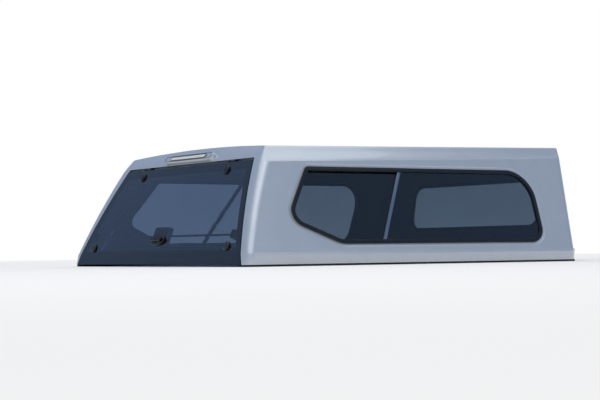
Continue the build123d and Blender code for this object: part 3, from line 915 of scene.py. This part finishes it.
def set_out(model, name, seats, body):
    """Black steel copies of a small piece on their seats, each facing its way, as one piece."""
    copies = []
    for place, facing in seats:
        copy = model.copy()
        copy.data = model.data.copy()
        bpy.context.scene.collection.objects.link(copy)
        aim(copy, facing)
        copy.location = place
        copies.append(copy)
    activate(*copies)
    bpy.ops.object.join()
    return finish_piece(named(name), body, "black_steel", materials["black"])


def evenly(wire, count, normal, inset):
    """Even places beside a closed wire, on its inner side. The wire is used up."""
    activate(wire)
    bpy.ops.object.convert(target="CURVE")
    points = [Vector(point.co[:3]) for point in wire.data.splines[0].points]
    heart = sum(points, Vector()) / len(points)
    runs = list(zip(points, points[1:] + points[:1]))
    spacing = sum((end - begin).length for begin, end in runs) / count
    places, walked, due = [], 0.0, spacing / 2
    for begin, end in runs:
        length = (end - begin).length
        while due < walked + length:
            place = begin.lerp(end, (due - walked) / length)
            across = (end - begin).cross(normal).normalized()
            inward = across if across.dot(heart - place) > 0 else -across
            places.append(place + inward * inset)
            due += spacing
        walked += length
    bpy.data.objects.remove(wire)
    return places


class CANOPY_OT_fasteners(Operator):
    """Sets the screws of the inner window trims and the nuts behind the door glass in place."""

    bl_idname = "canopy.fasteners"
    bl_label = "Screws and nuts"

    def execute(self, context):
        sizes = settings("sizes")
        head = screw_head(sizes.screw_radius)
        for side in sides:
            inward = -side_normal(side)
            trim = f"window_trim_{side}"
            wire = outline(trim, "trim_outline", outermost(trim, inward))
            places = evenly(wire, sizes.trim_screws, inward, sizes.screw_inset)
            set_out(head, trim + "_screws", [(place, inward) for place in places], "canopy")
        nut = hexagon_nut(sizes.nut_across)
        context.view_layer.update()
        inward = Vector((0.0, cos(sizes.glass_lean), -sin(sizes.glass_lean)))
        past_the_leaf = 40 * MM
        for side in sides:
            cap = sum((Vector(corner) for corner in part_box(f"hinge_cap_{side}")), Vector()) / 2
            leaf = bpy.data.objects[f"hinge_leaf_{side}_finished"]
            _, place, facing, _ = leaf.closest_point_on_mesh(cap + inward * past_the_leaf)
            set_out(nut, f"hinge_nut_{side}", [(place, facing)], "rear_door")
        for model in (head, nut):
            bpy.data.objects.remove(model)
        return {"FINISHED"}


class CANOPY_OT_lock(Operator):
    """Sets the lock barrel with its key slot into the handle's grip."""

    bl_idname = "canopy.lock"
    bl_label = "Lock barrel"

    def execute(self, context):
        length = 3 * MM
        rim = 1.2 * MM
        dish = 0.4 * MM
        middle_below_grip = 0.9 * MM
        key_slot = (1.0 * MM, 5.6 * MM, 2.0 * MM)
        key_height = 1.4 * MM
        deselect()
        bpy.ops.mesh.primitive_cylinder_add(
            vertices=32, radius=settings("sizes").lock_radius, depth=length
        )
        barrel = named("lock_barrel")
        choose(barrel, on_top)
        step(rim, -dish)
        bpy.ops.object.mode_set(mode="OBJECT")
        deselect()
        bpy.ops.mesh.primitive_cube_add(size=1.0, scale=key_slot, location=(0, 0, key_height))
        carve(barrel, named("key_slot"))
        round_edges(barrel, 0.2 * MM, 50, 1)
        outward = Vector(joints["handle_turn"]["axis"])
        outward = outward if outward.y < 0 else -outward
        centre = joint_place("handle_turn")
        grip = nodes["handle_grip"].data.vertices
        reach = max((corner.co - centre).dot(outward) for corner in grip)
        aim(barrel, outward)
        barrel.location = centre + outward * (reach - middle_below_grip)
        finish_piece(barrel, "handle", "bright_steel", materials["lock"])
        return {"FINISHED"}


class CANOPY_OT_sockets(Operator):
    """Gives each strut's rod its black moulded socket."""

    bl_idname = "canopy.sockets"
    bl_label = "Strut sockets"

    def execute(self, context):
        # Only the socket reaches further from the strut's line than this
        rod_radius = 4.4 * MM
        for side in sides:
            rod = bpy.data.objects[f"strut_rod_{side}_finished"]
            rod.data.materials.append(materials["plastic"])
            line = Vector(joints[f"strut_extend_{side}"]["axis"])
            place = joint_place(f"strut_swing_{side}")
            for face in rod.data.polygons:
                away = face.center - place
                off_line = (away - line * away.dot(line)).length
                face.material_index = int(off_line > rod_radius)
        return {"FINISHED"}


# Studio

# Where each lamp stands, its diameter and its power in watts
lamps = {
    "overhead": {"place": (0.0, -0.4, 4.4), "diameter": 6.5, "watts": 70.0},
    "rear_right": {"place": (3.3, -2.95, 3.4), "diameter": 5.0, "watts": 44.0},
    "front_left": {"place": (-3.4, 2.6, 3.0), "diameter": 5.0, "watts": 30.0},
}


def make_floor():
    """A wide pale floor that fades to white far from the object."""
    studio = settings("studio")
    deselect()
    bpy.ops.mesh.primitive_circle_add(vertices=96, radius=studio.floor_radius, fill_type="NGON")
    floor = named("floor")
    material, tree, shader, place = start("pale studio floor", Roughness=0.9)
    shader.inputs["Base Color"].default_value = linear(studio.floor_tone)
    reach = add(tree, "ShaderNodeVectorMath", {0: place}, "Value", operation="LENGTH")
    fade = {"Value": reach, "From Min": studio.fade_start, "From Max": studio.fade_end}
    far = add(tree, "ShaderNodeMapRange", fade)
    seen = add(tree, "ShaderNodeLightPath", {}, "Is Camera Ray")
    white = add(tree, "ShaderNodeMath", {0: far, 1: seen}, operation="MULTIPLY")
    glow = add(tree, "ShaderNodeEmission", {"Color": WHITE})
    add(
        tree,
        "ShaderNodeMixShader",
        {0: white, 1: shader.outputs[0], 2: glow},
        to=tree.nodes["Material Output"].inputs["Surface"],
    )
    floor.data.materials.append(material)


def make_world():
    """White to the eye and through glass, softer as light, and in gloss a sky that darkens
    above the horizon and is pale overhead."""
    studio = settings("studio")
    world = bpy.data.worlds.new("studio")
    bpy.context.scene.world = world
    world.use_nodes = True
    tree = world.node_tree
    background = tree.nodes["Background"].inputs
    light = add(tree, "ShaderNodeLightPath", {}).node.outputs
    white = light["Is Camera Ray"]
    for ray in ("Is Glossy Ray", "Is Transmission Ray"):
        white = add(tree, "ShaderNodeMath", {0: white, 1: light[ray]}, operation="MAXIMUM")
    strength = {"Value": white, "To Min": studio.world_light}
    add(tree, "ShaderNodeMapRange", strength, to=background["Strength"])
    direction = add(tree, "ShaderNodeTexCoord", {}, "Generated")
    height = add(tree, "ShaderNodeSeparateXYZ", {"Vector": direction}, "Z")
    tone = WHITE
    # The sine of the angle above the horizon at which each tone sets in and is full
    for colour, sets_in, full in ((studio.sky_tone, 0.0, 0.17), (studio.zenith_tone, 0.70, 0.90)):
        band = {"Value": height, "From Min": sets_in, "From Max": full}
        layer = {FACTOR: add(tree, "ShaderNodeMapRange", band), FIRST: tone, SECOND: linear(colour)}
        tone = add(tree, "ShaderNodeMix", layer, MIXED, data_type="RGBA")
    gloss = {FACTOR: light["Is Glossy Ray"], FIRST: WHITE, SECOND: tone}
    mirrored = add(tree, "ShaderNodeMix", gloss, MIXED, data_type="RGBA")
    eye = {FACTOR: light["Is Camera Ray"], FIRST: mirrored, SECOND: WHITE}
    add(tree, "ShaderNodeMix", eye, MIXED, background["Color"], data_type="RGBA")


def make_lamps():
    """A large soft lamp overhead and one on each side."""
    for name, lamp in lamps.items():
        deselect()
        bpy.ops.object.light_add(type="AREA", location=lamp["place"])
        made = named(name)
        made.data.shape = "DISK"
        made.data.size = lamp["diameter"]
        made.data.energy = lamp["watts"]
        aim(made, middle - Vector(lamp["place"]), "-Z")


def make_camera():
    """At the photograph's viewpoint, with a longer lens so that the canopy fills the frame."""
    studio = settings("studio")
    deselect()
    bpy.ops.object.camera_add(location=studio.camera_place)
    camera = named("camera")
    camera.data.lens = studio.camera_lens
    azimuth, pitch = studio.camera_azimuth, studio.camera_pitch
    forward = Vector((-sin(azimuth) * cos(pitch), cos(azimuth) * cos(pitch), sin(pitch)))
    aim(camera, forward, "-Z")
    roll = Matrix.Rotation(-studio.camera_roll, 3, "Z").to_quaternion()
    camera.rotation_quaternion = camera.rotation_quaternion @ roll
    bpy.context.scene.camera = camera


class CANOPY_OT_stage(Operator):
    """Floor, lamps, world and camera."""

    bl_idname = "canopy.stage"
    bl_label = "Studio"

    def execute(self, context):
        make_floor()
        make_world()
        make_lamps()
        make_camera()
        context.scene.view_settings.view_transform = "Standard"
        return {"FINISHED"}


# Panel, registration and the run

# In the order in which main calls them
makers = (
    CANOPY_OT_stage,
    CANOPY_OT_finishes,
    CANOPY_OT_moulding,
    CANOPY_OT_trim,
    CANOPY_OT_door_pane,
    CANOPY_OT_lamp_gasket,
    CANOPY_OT_fasteners,
    CANOPY_OT_lock,
    CANOPY_OT_sockets,
)
groups = {"finishes": CanopyFinishes, "sizes": CanopySizes, "studio": CanopyStudio}


class CANOPY_PT_panel(Panel):
    """Lists the makers of each group of pieces."""

    bl_idname = "CANOPY_PT_panel"
    bl_label = "Pickup canopy"
    bl_space_type = "VIEW_3D"
    bl_region_type = "UI"
    bl_category = "Canopy"

    def draw(self, context):
        for maker in makers:
            self.layout.operator(maker.bl_idname)


def register():
    """Registers the classes and their settings."""
    for kind in (*groups.values(), *makers, CANOPY_PT_panel):
        bpy.utils.register_class(kind)
    for name, group in groups.items():
        setattr(bpy.types.Scene, "canopy_" + name, PointerProperty(type=group))


def unregister():
    """Removes what register added."""
    for name in groups:
        delattr(bpy.types.Scene, "canopy_" + name)
    for kind in (CANOPY_PT_panel, *reversed(makers), *groups.values()):
        bpy.utils.unregister_class(kind)


def main():
    """Makes everything in order."""
    register()
    make_materials()
    bpy.ops.canopy.stage()
    bpy.ops.canopy.finishes()
    bpy.ops.canopy.moulding()
    bpy.ops.canopy.trim()
    bpy.ops.canopy.door_pane()
    bpy.ops.canopy.lamp_gasket()
    bpy.ops.canopy.fasteners()
    bpy.ops.canopy.lock()
    bpy.ops.canopy.sockets()


if __name__ == "__main__":
    main()
